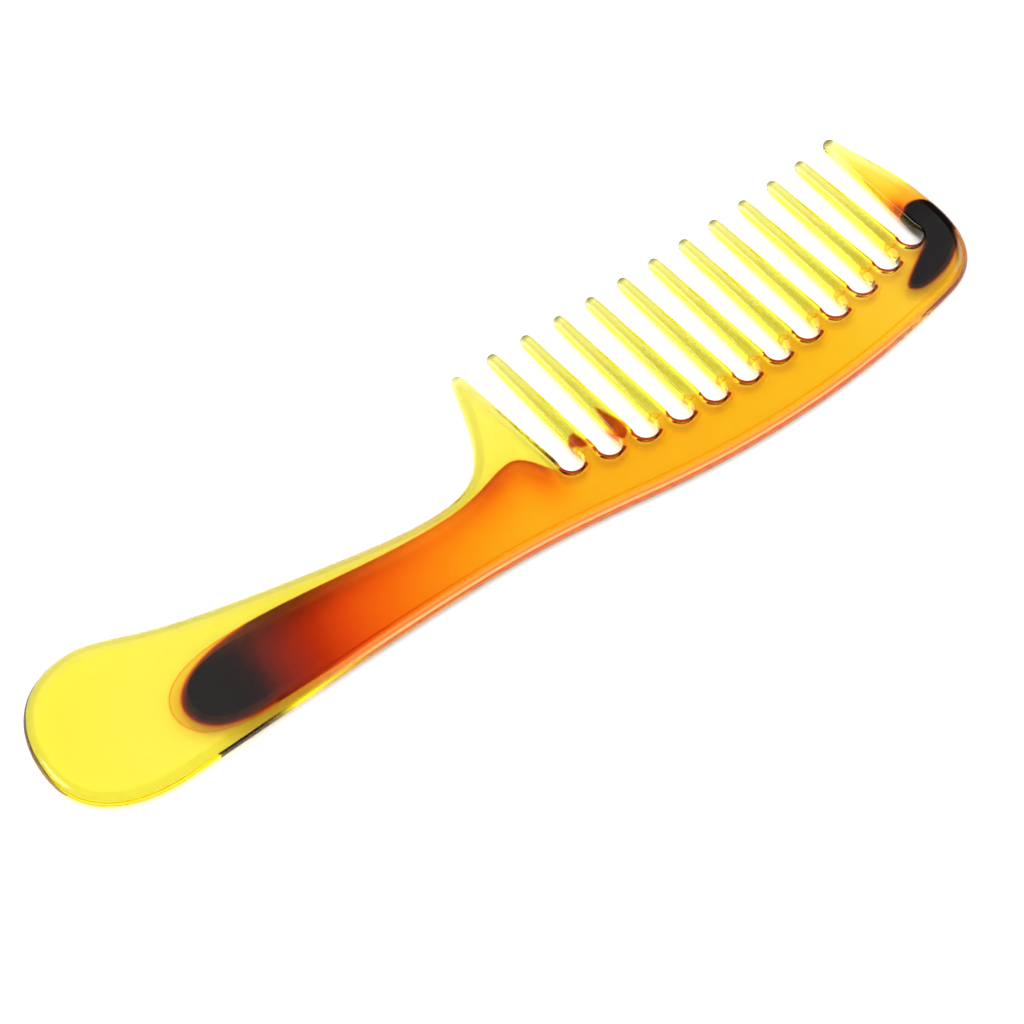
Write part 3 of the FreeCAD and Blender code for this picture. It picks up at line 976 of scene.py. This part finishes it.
# Clear yellow plastic. The yellow is what its inside absorbs, and the dye is a film on its upper half.
# Painted shade tints the teeth's faces and a band inside the clear edge olive, with a painted highlight line
# on the teeth, and the tips greyer; the back's wall has painted bands of shade and highlight.
def dyedPlasticAndPaintedShade():
    finish = Finish("dyed_clear_plastic_painted_shade")
    rim, tooth, back = finish.attribute("rim"), finish.attribute("tooth"), finish.attribute("back")
    height = finish.axis(2, finish.place) * (1 / mm)
    top = height.rising(*fades["top"])
    edge = finish.attribute("amber").rising(*fades["amber"])
    colour = finish.ramp(dyeAndShadeAmount(finish, edge, rim, back, top), linearStops(dyeAndShadeColours))
    # Painted highlight: a lighter line inside the teeth's olive shade.
    highlightLine = rim.band(*fades["toothHighlight"])
    # Painted shade: an olive tint on the teeth's faces, and on a band inside the clear edge.
    oliveShade = tooth * top * rim.rising(*fades["toothRim"]) * (1.0 - highlightLine * strengths["toothHighlight"])
    border = (1.0 - edge) * (1.0 - tooth) * top * rim.band(*fades["border"])
    oliveShade = oliveShade.atLeast(border * strengths["border"])
    # Painted shade: the tips are tinted grey-green.
    tip = finish.attribute("tip").rising(*fades["tip"]) * strengths["tip"]
    colour = finish.tinted(colour, clearLook["oliveShade"], oliveShade)
    colour = finish.tinted(colour, clearLook["tip"], tip)
    finish.set(Base_Color=colour, Roughness=clearLook["roughness"], IOR=clearLook["ior"])
    finish.set(Transmission_Weight=1.0)
    # Painted shade and highlight bands on the back's wall, by height, mixed in as a plain glossy shader.
    level = (height * (1 / thickness)).atMost(almostOne)
    wallLightAndShade = back * rim.falling(*fades["wallFace"]) * level.falling(*fades["wallTop"])
    share = finish.attribute("flatBack") * (wallShare["back"] - wallShare["corner"]) + wallShare["corner"]
    finish.body(wallLightAndShade * share, finish.ramp(level, linearStops(wallShadeAndHighlights)), clearLook["wallRoughness"])
    taken = np.array(clearLook["absorbed"]) / clearLook["density"]
    finish.absorb(1 - taken, clearLook["density"])
    return finish.material


paint = {
    "onTop": (0.85, 0.95),  # what is painted on the top face stands this much off the same mark lower down
    "spacing": 0.3,
    "upperBorder": (22.0, 31.0),  # heights between which the tongue's outline is its upper border
    "pastGap": 1.0,
    "crescentOpen": 0.35,  # a crescent fades where a point stands less than this towards the near side
    "crescentSteep": 6.0,
    "curlSteep": 3.0,
    "endsAt": 0.5,
    "endsHalf": 0.3,
    "backFacing": 0.3,
    "backBelow": 30.0,
    "backDepth": 3.4,
    "backFade": 0.5,
    "backFrom": (50.0, 18.0),  # where its bands start, and over what run
    "backUntil": (206.0, 16.0),
    "toothFrom": (1.0, 3.0),
    "tipDepth": 1.1,
}


# How far each point is outside the nearest circle, and how far it stands from that centre towards the
# near side, as a share of the radius.
def roundMark(xy, centres, radius):
    far, which = nearest(xy, centres)
    facing = (xy - centres[which]) @ np.array(teeth["nearSide"]) / radius
    return far - radius, facing


# The dye's own patterns: depths inside each outline, and how strongly the tongue is dyed.
def paintDye(skin, xy):
    painted = xy + np.array(paint["onTop"])
    spacing = paint["spacing"]
    amberLine = amberOutline(spacing)
    lowest, highest = paint["upperBorder"]
    between = (amberLine[:, 1] > lowest) & (amberLine[:, 1] < highest)
    topEdge = amberLine[between & (amberLine[:, 0] < firstGapX + paint["pastGap"])]
    flareDepths = [depth(painted, outlineOf(closedCurve(points), spacing)) for points in flares]
    carry(skin, "amber", depth(painted, amberLine))
    carry(skin, "grip", depth(painted, gripOutline(spacing)))
    carry(skin, "dye", dyeAt(painted, nearest(painted, topEdge)[0]))
    carry(skin, "blob", depth(painted, cornerOutline(spacing)))
    carry(skin, "flare", np.max(flareDepths, 0))


# Painted shade: crescents under the gaps and curls round the gates, on the near side whose wall is seen.
# Both are distances that grow away from the near side.
def paintShadeMarks(skin, xy):
    centres = np.array([gapCentre(index) for index in range(head["teeth"] + 1)])
    outside, facing = roundMark(xy, centres, teeth["gapRadius"])
    away = np.clip(paint["crescentOpen"] - facing, 0, 1)
    carry(skin, "gap", outside + away * paint["crescentSteep"])
    carry(skin, "ends", np.clip(1 - np.abs(facing - paint["endsAt"]) / paint["endsHalf"], 0, 1))
    rows = pitRows()
    gates = rows[rows[:, 3] == pits["gate"]["deep"]]
    outside, facing = roundMark(xy, gates[:, :2], pits["gate"]["radius"])
    carry(skin, "curl", outside + np.clip(-facing, 0, 1) * paint["curlSteep"])


# Distance from the edge, and shares from 0 to 1 of the back's wall, the teeth and their tips.
def paintEdges(skin, xy, outline):
    x, y = xy.T
    rim, which = nearest(xy, outline)
    back = (inward(outline)[which, 1] > paint["backFacing"]) & (y < paint["backBelow"])
    start, run = paint["backFrom"]
    within = np.clip((paint["backDepth"] - rim) / paint["backFade"], 0, 1)
    stop, stopRun = paint["backUntil"]
    fromNeck, neckRun = paint["toothFrom"]
    column = alongTeeth(x)
    share = np.clip((y - neckY(column) - fromNeck) / neckRun, 0, 1)
    carry(skin, "rim", rim)
    carry(skin, "back", back * within * np.clip((x - start) / run, 0, 1))
    carry(skin, "flatBack", np.clip((stop - x) / stopRun, 0, 1))
    carry(skin, "tooth", share * ((x > firstGapX) & (x < lastGapX)))
    carry(skin, "tip", y - tipY(column) + paint["tipDepth"])


def buildSkin():
    outline, edge = skinOutline()
    rings, side = skinMesh["rings"], skinMesh["side"]
    skin, xy = moulding("clear_moulding", outline, edge, plateHalf, rings, side, pitDepth, pitSpots())
    paintDye(skin, xy)
    paintShadeMarks(skin, xy)
    paintEdges(skin, xy, outline)
    skin.data.materials.append(dyedPlasticAndPaintedShade())
    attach(skin, "root")
    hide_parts(*[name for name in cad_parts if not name.endswith("core")])


coreLook = {
    "mottle": (400.0, 3.0),
    "stops": ((0.3, (0.06, 0.02, 0.015)), (0.7, (0.09, 0.03, 0.022))),
    "roughness": 0.35,
}


# Almost black dye inside the plastic. It clears between two places along the comb.
def dyeCore(name, clearing):
    finish = Finish(name)
    start, stop = [(x + endX) * mm for x in clearing]
    solid = finish.axis(0, finish.place).falling(start, stop)
    colour = finish.ramp(finish.noise(*coreLook["mottle"]), coreLook["stops"])
    finish.set(Base_Color=colour, Roughness=coreLook["roughness"], Alpha=solid)
    return finish.material


# A core of even thickness with rounded edges.
def coreMoulding(name, outline, size):
    edge = np.full(len(outline), size["edge"])
    half = size["half"]
    core = moulding(name, outline, edge, lambda xy: np.full(len(xy), half), size["rings"], size["side"])[0]
    core.data.materials.append(dyeCore(name, size["clearing"]))
    return core


gripCore = {
    "start": 30.2,
    "length": 40.0,
    "margin": 2.2,
    "noseRun": 1.6,
    "fullness": 0.62,
    "taper": (1.5, 0.5),  # how much narrower its far end is, at the top and the bottom
    "half": 0.75,
    "edge": 1.1,
    "spacing": 0.5,
    "rounds": 8,
    "rings": 5,
    "side": 1.5,
    "clearing": (32.0, 50.0),
}


# The dark wedge in the tongue: two cubics round its nose, then straight sides that draw together.
def buildGripCore():
    half = tongue["width"] / 2 - gripCore["margin"]
    middle = tongueLowY + tongue["width"] / 2
    startX, full = gripCore["start"], gripCore["fullness"]
    roundX = startX + half * gripCore["noseRun"]
    nose, crest, low = at(startX, middle), at(roundX, middle + half), at(roundX, middle - half)
    pull, bulge = at((roundX - startX) * full, 0), at(0, half * full)
    farEnd = startX + gripCore["length"]
    topTaper, lowTaper = gripCore["taper"]
    endTop, endLow = at(farEnd, middle + half - topTaper), at(farEnd, middle - half + lowTaper)
    parts = [
        bezier(crest, crest - pull, nose + bulge, nose),
        bezier(nose, nose - bulge, low - pull, low),
        *throughCorners(low, endLow, endTop, crest),
    ]
    outline = rolled(outlineOf(parts, gripCore["spacing"]), gripCore["rounds"])
    core = coreMoulding("grip_dye", outline, gripCore)
    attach(core, "root")
    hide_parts("grip_core")


cornerCore = {
    "shrink": 0.6,
    "half": 1.1,
    "edge": 1.0,
    "spacing": 0.4,
    "rounds": (10, 6),
    "rings": 5,
    "side": 1.2,
    "clearing": (240.0, 250.0),  # past the comb's end, so it is dark throughout
}


# The dark kidney in the corner: the painted outline, rounded, moved inwards and rounded again.
def buildCornerCore():
    before, after = cornerCore["rounds"]
    outline = rolled(cornerOutline(cornerCore["spacing"]), before)
    outline = outline + inward(outline) * cornerCore["shrink"]
    core = coreMoulding("corner_dye", rolled(outline, after), cornerCore)
    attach(core, "root")
    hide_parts("corner_core")


stage = {
    "gap": 0.15,  # between the floor and the comb
    "size": 3.0,
    "colour": (0.93, 0.93, 0.93, 1.0),
    "roughness": 0.6,
    "specular": 0.1,
    "zenith": 2.3,
    "horizon": 0.5,
    "brightFrom": 0.9,
    "mirrored": 0.08,  # even light that mirrored rays see, with the soft boxes added to it
    "boxes": (
        ((0.201, 0.448, 0.871), (0.99844, 0.99996), 0.5),
        ((0.509, 0.397, 0.764), (0.9985, 0.9998), 0.38),
        ((-0.6, 0.35, 0.72), (0.97, 0.985), 5.0),
        ((0.75, 0.1, 0.65), (0.975, 0.99), 3.0),
    ),
    "bounces": 48,
    "mirrorBounces": 32,
}
view = {
    "place": (-183.9, -229.8, 438.4),
    "direction": (0.3384, 0.4268, -0.8387),
    "lens": 91.4,
    "sensor": 36.0,
    "clipStart": 0.01,
}


def makeFloor():
    half = stage["size"] / 2
    low = -stage["gap"] * mm
    mesh = bpy.data.meshes.new("floor")
    corners = [(-half, -half, low), (half, -half, low), (half, half, low), (-half, half, low)]
    mesh.from_pydata(corners, [], [(0, 1, 2, 3)])
    floor = bpy.data.objects.new("floor", mesh)
    bpy.context.scene.collection.objects.link(floor)
    finish = Finish("pale_table")
    finish.set(Base_Color=stage["colour"], Roughness=stage["roughness"])
    finish.set(Specular_IOR_Level=stage["specular"])
    mesh.materials.append(finish.material)
    print("floor laid")


# A dome that brightens from the horizon up by a smooth step. Mirrored rays see a dim even sheen
# instead, with the soft boxes in it.
def makeLight():
    world = bpy.data.worlds.new("soft_studio")
    bpy.context.scene.world = world
    world.use_nodes = True
    sky = Sky(world)
    direction = sky.node("ShaderNodeTexCoord", {}, {}).outputs["Generated"]
    rise = sky.axis(2, direction).rising(0.0, stage["brightFrom"])
    dome = rise * (stage["zenith"] - stage["horizon"]) + stage["horizon"]
    sheen = stage["mirrored"]
    for towards, spread, strength in stage["boxes"]:
        sheen = sheen + sky.spot(direction, towards, spread) * strength
    path = sky.node("ShaderNodeLightPath", {}, {})
    mirrored = Value(sky, path.outputs["Is Glossy Ray"]) * Value(sky, path.outputs["Is Reflection Ray"])
    background = sky.tree.nodes["Background"]
    sky.feed(background.inputs["Color"], (1.0, 1.0, 1.0, 1.0))
    sky.feed(background.inputs["Strength"], dome * (1.0 - mirrored) + sheen * mirrored)
    paths = bpy.context.scene.cycles
    paths.max_bounces = stage["bounces"]
    paths.transmission_bounces = stage["bounces"]
    paths.glossy_bounces = stage["mirrorBounces"]
    bpy.context.scene.view_settings.view_transform = "Standard"
    print("light set")


def makeCamera():
    data = bpy.data.cameras.new("camera")
    data.lens = view["lens"]
    data.sensor_width = view["sensor"]
    data.clip_start = view["clipStart"]
    camera = bpy.data.objects.new("camera", data)
    camera.location = Vector(view["place"]) * mm
    camera.rotation_euler = Vector(view["direction"]).to_track_quat("-Z", "Y").to_euler()
    bpy.context.scene.collection.objects.link(camera)
    bpy.context.scene.camera = camera
    print("camera placed")


buildSkin()
buildGripCore()
buildCornerCore()
makeFloor()
makeLight()
makeCamera()
print("scene ready")
